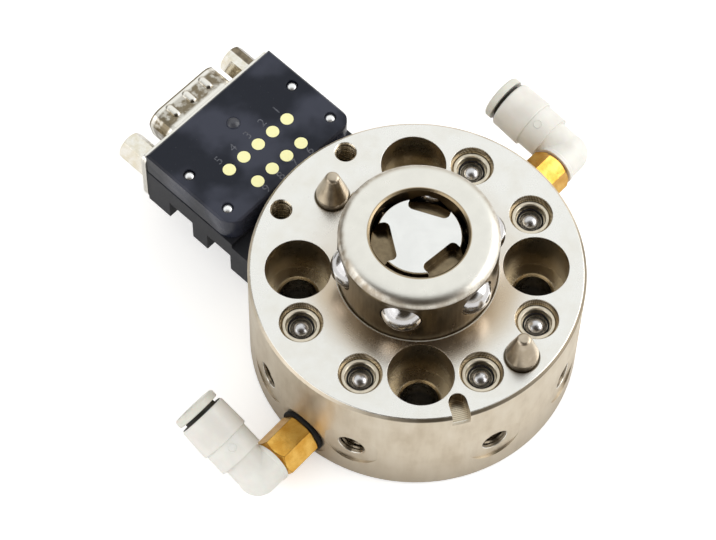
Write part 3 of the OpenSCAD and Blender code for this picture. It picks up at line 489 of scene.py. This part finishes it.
def moulded(name, shade, rough, ripple_mm=0.002, grain_mm=0.0006, under=0.0, gloss=0.5):
    """Injection-moulded resin: faint sink marks, fine spark texture, slightly uneven gloss."""
    paint = material(name)
    place = paint.place_mm()
    sink = paint.noise(place, 0.22, 3)
    grain = paint.noise(place, 9.0, 2)
    tone = paint.blend(sink.between(0.3, 0.7), scaled(shade, 0.9), shade)
    first = paint.bump(sink, ripple_mm, paint.soft_edge(0.12))
    normal = paint.bump(grain, grain_mm, first)
    return paint.surface(
        base_color=tone, roughness=rough * 0.85 + grain * rough * 0.3, normal=normal,
        subsurface_weight=under, subsurface_scale=0.002, specular_ior_level=gloss,
    )


def potted_plate():
    """Glossy blue-black resin with the slow ripples of a cast surface and a little dust."""
    paint = material("module_resin")
    place = paint.place_mm()
    ripple = paint.noise(place, 0.13, 2, 0.45)
    dust = paint.noise(place, 4.5, 2).between(0.7, 0.78)
    haze = paint.noise(place, 0.5, 4)
    sheen = paint.noise(place, 0.12, 3, 0.4).between(0.42, 0.66)
    body = paint.blend(sheen, (0.007, 0.009, 0.017), (0.040, 0.044, 0.064))
    tone = paint.blend(dust * 0.5, body, (0.14, 0.14, 0.15))
    first = paint.bump(ripple, 0.5, paint.soft_edge(0.25))
    normal = paint.bump(paint.noise(place, 7, 2), 0.0012, first)
    rough = 0.16 + haze * 0.14
    return paint.surface(base_color=tone, roughness=rough, normal=normal, specular_ior_level=0.26)


def black_rubber():
    """Matt black with a faint grey bloom."""
    paint = material("black_rubber")
    place = paint.place_mm()
    bloom = paint.noise(place, 1.5, 4)
    tone = paint.blend(bloom, (0.006, 0.006, 0.006), (0.016, 0.015, 0.014))
    normal = paint.bump(paint.noise(place, 8, 2), 0.004)
    rough = 0.55 + bloom * 0.2
    return paint.surface(base_color=tone, roughness=rough, normal=normal, specular_ior_level=0.2)


def shadow_gap():
    """Painted shade: the dark inside of a narrow gap."""
    paint = material("shadow_gap")
    cloud = paint.noise(paint.place_mm(), 1.5, 3)
    tone = paint.blend(cloud, (0.027, 0.0258, 0.0168), (0.045, 0.043, 0.028))
    return paint.surface(base_color=tone, roughness=0.45 + cloud * 0.2)


def printed_grey():
    """Worn pad print."""
    paint = material("digit_print")
    place = paint.place_mm()
    wear = paint.noise(place, 5.0, 3)
    tone = paint.blend(wear.between(0.35, 0.6), (0.016, 0.018, 0.026), (0.115, 0.12, 0.145))
    return paint.surface(base_color=tone, roughness=0.5 + wear * 0.1)


def make_materials():
    """All materials, under the record's slots and the names of the details."""
    collar_top = CAGE_TOP - 1.2
    return {
        "plated_body": plated_body(),
        "hardened_steel": shaded_steel(
            "hardened_steel", collar_top, (0.86, 0.835, 0.765), 0.30, 0.3, CAGE_R
        ),
        "cam_steel": shaded_steel("cam_steel", CAM_TOP, (0.88, 0.875, 0.85), 0.2, 0.5),
        "piston_aluminium": turned_metal(
            "piston_aluminium", (0.78, 0.77, 0.74), (0.70, 0.69, 0.66), 0.28
        ),
        "ball_steel": polished_ball(),
        "pin_steel": turned_metal(
            "pin_steel", (0.60, 0.52, 0.41), (0.42, 0.35, 0.26), 0.34, 0.4, 0.004
        ),
        "bushing_metal": plain_metal("bushing_metal", (0.78, 0.70, 0.56), 0.32),
        "spring_steel": plain_metal("spring_steel", (0.55, 0.54, 0.52), 0.3),
        "black_steel": plain_metal("black_steel", (0.07, 0.07, 0.075), 0.4),
        "screw_steel": plain_metal("screw_steel", (0.97, 0.97, 0.96), 0.34, 0.04),
        "brass": turned_brass(),
        "black_rubber": black_rubber(),
        "white_resin": moulded("white_resin", (0.86, 0.845, 0.795), 0.34, under=0.08),
        "white_sleeve": moulded("white_sleeve", (0.84, 0.82, 0.77), 0.34, under=0.08),
        "button_resin": moulded("button_resin", (0.76, 0.755, 0.68), 0.32, under=0.08),
        "module_resin": potted_plate(),
        "dome_resin": moulded("dome_resin", (0.055, 0.057, 0.07), 0.3),
        "housing_resin": moulded(
            "housing_resin", (0.016, 0.017, 0.022), 0.5, 0.004, 0.003, gloss=0.3
        ),
        "insulator_resin": moulded("insulator_resin", (0.018, 0.018, 0.02), 0.45),
        "gold_contact": gold_contact(),
        "nickel_sheet": nickel_shell(),
        "nickel_screw": jackscrew_nickel(),
        "shadow_gap": shadow_gap(),
        "digit_print": printed_grey(),
    }


def paint_frame(materials):
    """Gives every CAD node the material of its slot in the record."""
    for part in frame["record"]["subparts"]:
        mesh = nodes[part["node"]].data
        mesh.materials.clear()
        mesh.materials.append(materials[part["material_slot"]])


# ---------- new pieces ----------

def finished(name, bm, look, body=FIXED):
    """Turns a bmesh in millimetres into a piece that rides on a body."""
    bmesh.ops.scale(bm, vec=(MM, MM, MM), verts=bm.verts)
    mesh = bpy.data.meshes.new(name)
    bm.to_mesh(mesh)
    bm.free()
    piece = bpy.data.objects.new(name, mesh)
    bpy.context.scene.collection.objects.link(piece)
    mesh.materials.append(look)
    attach(piece, body)
    return piece


def turned(angle, x, y, z=0):
    """A turn about Z, then a step along the turned axes."""
    return Matrix.Rotation(angle, 4, "Z") @ Matrix.Translation((x, y, z))


def thread_ridge(hole_r, depth, pitch, length):
    """A V-shaped ridge that winds up a hole's wall, standing on z = 0."""
    steps = 28
    turns = length / pitch - 1
    bm = bmesh.new()
    half = pitch * 0.42
    profile = [(hole_r + 0.02, 0), (hole_r - depth, half), (hole_r + 0.02, 2 * half)]
    face = bm.faces.new([bm.verts.new((r, 0, h)) for r, h in profile])
    count = round(turns * steps)
    bmesh.ops.spin(
        bm, geom=[face, *face.edges, *face.verts], cent=(0, 0, 0), axis=(0, 0, 1),
        dvec=(0, 0, pitch / steps), angle=TURN * count / steps, steps=count, use_duplicate=False,
    )
    bmesh.ops.recalc_face_normals(bm, faces=bm.faces)
    return bm


def side_port_place(mount):
    """Turns +Z onto a side port's axis, at the mouth of its bore."""
    axis = Vector(mount["axis"])
    middle = Vector(mount["pos_m"]) / MM
    return Matrix.Translation(middle) @ axis.to_track_quat("Z", "Y").to_matrix().to_4x4()


def side_port_threads(materials):
    depth, pitch, shown = 0.2, 0.8, 5.0
    for mount in frame["record"]["mounts"]:
        if not mount["name"].startswith("side_port_"):
            continue
        bm = thread_ridge(mount["dims"]["r_mm"], depth, pitch, shown)
        outer = mount["dims"]["length_mm"] * 0.25
        bmesh.ops.translate(bm, verts=bm.verts, vec=(0, 0, outer - shown + 0.3))
        bmesh.ops.transform(bm, matrix=side_port_place(mount), verts=bm.verts)
        finished(mount["name"] + "_thread", bm, materials["plated_body"])


def top_hole_threads(materials):
    depth, pitch, shown = 0.18, 0.7, 6.0
    for index, degrees in enumerate(TOP_HOLE_ANGLES, 1):
        bm = thread_ridge(TOP_HOLE_R, depth, pitch, shown)
        start_z = BODY_TOP - shown - 0.1
        place = turned(math.radians(degrees), TOP_HOLE_CIRCLE_R, 0, start_z)
        bmesh.ops.transform(bm, matrix=place, verts=bm.verts)
        finished(f"top_hole_thread_{index}", bm, materials["plated_body"])


def digit(text, x, y, materials):
    """One printed digit on the contact plate, at a place in the module's own axes."""
    height, thick = 1.6, 0.02
    curve = bpy.data.curves.new(f"digit_{text}", "FONT")
    curve.body = text
    curve.size = height * 1.45
    curve.align_x = "CENTER"
    curve.align_y = "CENTER"
    shape = bpy.data.objects.new(f"digit_{text}", curve)
    bpy.context.scene.collection.objects.link(shape)
    mesh = bpy.data.meshes.new_from_object(shape)
    bpy.data.objects.remove(shape)
    bm = bmesh.new()
    bm.from_mesh(mesh)
    bpy.data.meshes.remove(mesh)
    bmesh.ops.remove_doubles(bm, verts=bm.verts, dist=0.001)
    sides = bmesh.ops.extrude_face_region(bm, geom=bm.faces[:])["geom"]
    moved = [part for part in sides if isinstance(part, bmesh.types.BMVert)]
    bmesh.ops.translate(bm, verts=moved, vec=(0, 0, thick))
    bmesh.ops.recalc_face_normals(bm, faces=bm.faces)
    place = turned(MODULE_ANGLE, x, y, PLATE_TOP - thick / 4)
    bmesh.ops.transform(bm, matrix=place, verts=bm.verts)
    finished(f"digit_{text}", bm, materials["digit_print"])


def contact_digits(materials):
    """Contacts 1 to 5 in the far row and 6 to 9 in the near one."""
    for first, count, y in ((1, 5, DIGIT_ROW_FAR), (6, 4, DIGIT_ROW_NEAR)):
        for i in range(count):
            digit(str(first + i), ((count - 1) / 2 - i) * CONTACT_PITCH, y, materials)


def ring(bm, major, minor, height, sides=14, steps=64):
    """A round-section ring lying at a height about Z."""
    verts = bmesh.ops.create_circle(bm, segments=sides, radius=minor)["verts"]
    edges = list({edge for vert in verts for edge in vert.link_edges})
    upright = Matrix.Translation((major, 0, height)) @ Matrix.Rotation(math.pi / 2, 4, "X")
    bmesh.ops.transform(bm, matrix=upright, verts=verts)
    bmesh.ops.spin(
        bm, geom=edges + verts, cent=(0, 0, 0), axis=(0, 0, 1), angle=TURN, steps=steps,
        use_merge=True, use_duplicate=False,
    )


def lathe(profile, steps=64):
    """A closed outline of (radius, height) turned about Z."""
    bm = bmesh.new()
    verts = [bm.verts.new((r, 0, h)) for r, h in profile]
    edges = [bm.edges.new((verts[i - 1], verts[i])) for i in range(len(verts))]
    bmesh.ops.spin(
        bm, geom=edges + verts, cent=(0, 0, 0), axis=(0, 0, 1), angle=TURN, steps=steps,
        use_merge=True, use_duplicate=False,
    )
    bmesh.ops.remove_doubles(bm, verts=bm.verts, dist=0.0001)
    bmesh.ops.recalc_face_normals(bm, faces=bm.faces)
    return bm


def smooth(piece):
    for face in piece.data.polygons:
        face.use_smooth = True


def valve_seat_rings(materials):
    """The round rubber rings that the check balls press on."""
    ring_r, wire_r = 2.12, 0.17
    ring_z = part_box("valve_seats")[0][2] / MM + 2 * wire_r
    bm = bmesh.new()
    for degrees in VALVE_ANGLES:
        one = bmesh.new()
        ring(one, ring_r, wire_r, ring_z)
        bmesh.ops.recalc_face_normals(one, faces=one.faces)
        place = turned(math.radians(degrees), VALVE_R, 0)
        bmesh.ops.transform(one, matrix=place, verts=one.verts)
        mesh = bpy.data.meshes.new("one_ring")
        one.to_mesh(mesh)
        one.free()
        bm.from_mesh(mesh)
        bpy.data.meshes.remove(mesh)
    piece = finished("valve_seat_rings", bm, materials["black_rubber"])
    smooth(piece)
    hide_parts("valve_seats")


def valve_springs(materials):
    """Copies of the frame's springs, smooth-shaded, in place of the hidden originals."""
    for i in range(1, len(VALVE_ANGLES) + 1):
        node = f"valve_spring_{i}"
        bm = bmesh.new()
        bm.from_mesh(nodes[node].data)
        bmesh.ops.scale(bm, vec=(1 / MM, 1 / MM, 1 / MM), verts=bm.verts)
        piece = finished(f"valve_coil_{i}", bm, materials["spring_steel"])
        smooth(piece)
        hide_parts(node)
        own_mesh(piece)


def leg_place(side):
    """Turns +Z onto a fitting's leg, with Z = 0 on the barrel's axis, in millimetres."""
    records = {joint["name"]: joint for joint in frame["record"]["behaviour"]["joints"]}
    along = Vector(records[f"release_button_{side}_press"]["axis"]).normalized()
    barrel = Vector(records[f"elbow_{side}_swivel"]["axis"]).normalized()
    start = Vector(records[f"elbow_{side}_swivel"]["pos_m"]) / MM
    across = along.cross(barrel).normalized()
    if across.z < 0:
        across = -across
    turn = Matrix((across.cross(along), across, along)).transposed().to_4x4()
    return Matrix.Translation(start) @ turn


def gate_mark():
    """A small ring that lies on the curved side of a leg, about the leg's axis Z."""
    mark_r, wire_r, to_side, up_leg = 0.68, 0.1, 1.3, 6.6
    bm = bmesh.new()
    ring(bm, mark_r, wire_r, 0, 8, 40)
    for vert in bm.verts:
        lift = vert.co.z
        x, z = vert.co.x + to_side, vert.co.y + up_leg
        vert.co = (x, math.sqrt(LEG_R * LEG_R - x * x) + lift, z)
    bmesh.ops.recalc_face_normals(bm, faces=bm.faces)
    return bm


def tube(inner_r, outer_r, low, high):
    return lathe([(inner_r, low), (outer_r, low), (outer_r, high), (inner_r, high)])


def fitting_details(materials):
    """Painted shade as dark pieces beside each release button, and the gate mark moulded on each
    leg.
    """
    dark, white = materials["shadow_gap"], materials["white_resin"]
    for side in "ab":
        leg, button = f"elbow_{side}", f"release_button_{side}"
        # Painted shade: a dark ring at the sleeve's mouth and a dark wrap on each button's neck
        gap = tube(3.22, 4.16, SLEEVE_END - 0.04, SLEEVE_END + 0.04)
        wrap = tube(BUTTON_NECK_R - 0.1, BUTTON_NECK_R + 0.04, SLEEVE_END - 0.6, BUTTON_FACE + 0.03)
        mark = gate_mark()
        for bm in (gap, wrap, mark):
            bmesh.ops.transform(bm, matrix=leg_place(side), verts=bm.verts)
        finished(f"sleeve_mouth_shade_{side}", gap, dark, leg)
        finished(f"button_neck_shade_{side}", wrap, dark, button)
        smooth(finished(f"gate_mark_{side}", mark, white, leg))


def screw_domes(materials):
    """The bright rounded ends of the module's screws, seen in the plate's holes."""
    outline = [
        (0.0, -0.1), (1.0, -0.1), (1.0, 0.35), (0.93, 0.52), (0.75, 0.66), (0.42, 0.76), (0.0, 0.8),
    ]
    end_z = top_of("module_screws")
    places = [(x, y) for x in (-SCREW_X, SCREW_X) for y in SCREW_ROWS]
    for i, (x, y) in enumerate(places, 1):
        bm = lathe(outline, 40)
        bmesh.ops.transform(bm, matrix=turned(MODULE_ANGLE, x, y, end_z), verts=bm.verts)
        smooth(finished(f"screw_dome_{i}", bm, materials["screw_steel"]))


def filler_dome(materials):
    """The raised sprue stub beside the contact rows: a cap of a sphere."""
    foot_r, rise, steps = 1.15, 0.5, 8
    bow = (foot_r ** 2 + rise ** 2) / (2 * rise)
    outline = [(0.0, -0.1), (foot_r, -0.1)]
    for i in range(steps + 1):
        r = foot_r * (1 - i / steps)
        outline.append((r, math.sqrt(bow * bow - r * r) - bow + rise))
    bm = lathe(outline, 48)
    low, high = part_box("filler_plug")
    middle = ((low[0] + high[0]) / 2 / MM, (low[1] + high[1]) / 2 / MM, PLATE_TOP)
    bmesh.ops.translate(bm, verts=bm.verts, vec=middle)
    smooth(finished("filler_dome", bm, materials["dome_resin"]))


# ---------- studio ----------

CAMERA_PLACE = Vector((-20.55, -239.39, 468.55)) * MM
CAMERA_RIGHT = Vector((0.99970, -0.02120, 0.01247))
CAMERA_UP = Vector((0.01275, 0.88022, 0.47440))
CAMERA_BACK = Vector((-0.02104, -0.47411, 0.88022))


def add_camera():
    camera = bpy.data.cameras.new("camera")
    camera.sensor_width = 36
    camera.lens = 151.31
    camera.clip_start = 0.01
    camera.clip_end = 20
    holder = bpy.data.objects.new("camera", camera)
    turn = Matrix((CAMERA_RIGHT, CAMERA_UP, CAMERA_BACK)).transposed().to_4x4()
    holder.matrix_world = Matrix.Translation(CAMERA_PLACE) @ turn
    bpy.context.scene.collection.objects.link(holder)
    bpy.context.scene.camera = holder


def area_light(name, place, size, power):
    """A square light that faces the origin."""
    light = bpy.data.lights.new(name, "AREA")
    light.shape = "SQUARE"
    light.size = size
    light.energy = power
    holder = bpy.data.objects.new(name, light)
    aim = (-Vector(place)).to_track_quat("-Z", "Y")
    holder.matrix_world = Matrix.Translation(place) @ aim.to_matrix().to_4x4()
    bpy.context.scene.collection.objects.link(holder)


def add_world():
    """A white room that is dark and warm high up behind the camera, and low on the left."""
    world = bpy.data.worlds.new("studio")
    bpy.context.scene.world = world
    paint = Paint(world)
    toward = paint.node("TexCoord", out="Generated")
    x, _, z = paint.split(toward)
    dark_way = Vector((0.0, -0.56, 0.83)).normalized()
    high = paint.dot(toward, dark_way).between(0.62, 0.80)
    low_left = x.between(-0.25, -0.7) * z.math("ABSOLUTE").between(0.62, 0.30)
    walls = paint.blend(z.between(0.0, 0.6), (0.66, 0.61, 0.53), (0.98, 1.0, 1.0))
    sided = paint.blend(low_left * 0.9, walls, (0.05, 0.04, 0.025))
    mirrored = paint.blend(high, sided, (0.040, 0.028, 0.015))
    glossy = paint.node("LightPath", out="Is Glossy Ray")
    room = paint.blend(glossy, (0.70, 0.69, 0.67), mirrored)
    seen = paint.blend(paint.node("LightPath", out="Is Camera Ray"), room, (1.0, 1.0, 1.0))
    light = paint.node("Background", sockets={"Color": seen, "Strength": 1.0})
    paint.node("OutputWorld", sockets={"Surface": light})


def add_floor():
    """White paper that glows a little where the camera sees it, just under the part."""
    paint = material("floor_paper")
    place = paint.place_mm()
    tint = paint.noise(place, 0.01, 2)
    tone = paint.blend(tint, (0.93, 0.93, 0.925), (0.95, 0.95, 0.95))
    paper = paint.node("BsdfDiffuse", sockets={"Color": tone})
    glow = paint.node("Emission", sockets={"Color": (1, 1, 1, 1), "Strength": 0.42})
    both = paint.node("AddShader", sockets={0: paper, 1: glow})
    rays = paint.node("LightPath", out="Is Camera Ray")
    mixed = paint.node("MixShader", sockets={0: rays, 1: paper, 2: both})
    paint.node("OutputMaterial", sockets={"Surface": mixed})
    bm = bmesh.new()
    bmesh.ops.create_grid(bm, x_segments=2, y_segments=2, size=3)
    mesh = bpy.data.meshes.new("floor")
    bm.to_mesh(mesh)
    bm.free()
    mesh.materials.append(paint.owner)
    floor = bpy.data.objects.new("floor", mesh)
    floor.location = (0, 0, -0.2 * MM)
    bpy.context.scene.collection.objects.link(floor)


def build():
    materials = make_materials()
    paint_frame(materials)
    side_port_threads(materials)
    top_hole_threads(materials)
    contact_digits(materials)
    valve_seat_rings(materials)
    valve_springs(materials)
    fitting_details(materials)
    screw_domes(materials)
    filler_dome(materials)
    add_floor()
    add_world()
    area_light("key", (0.80, 0.10, 0.50), 1.0, 6)
    area_light("fill", (-0.70, -0.35, 0.30), 0.9, 3)
    add_camera()
    bpy.context.scene.view_settings.view_transform = "Standard"


build()
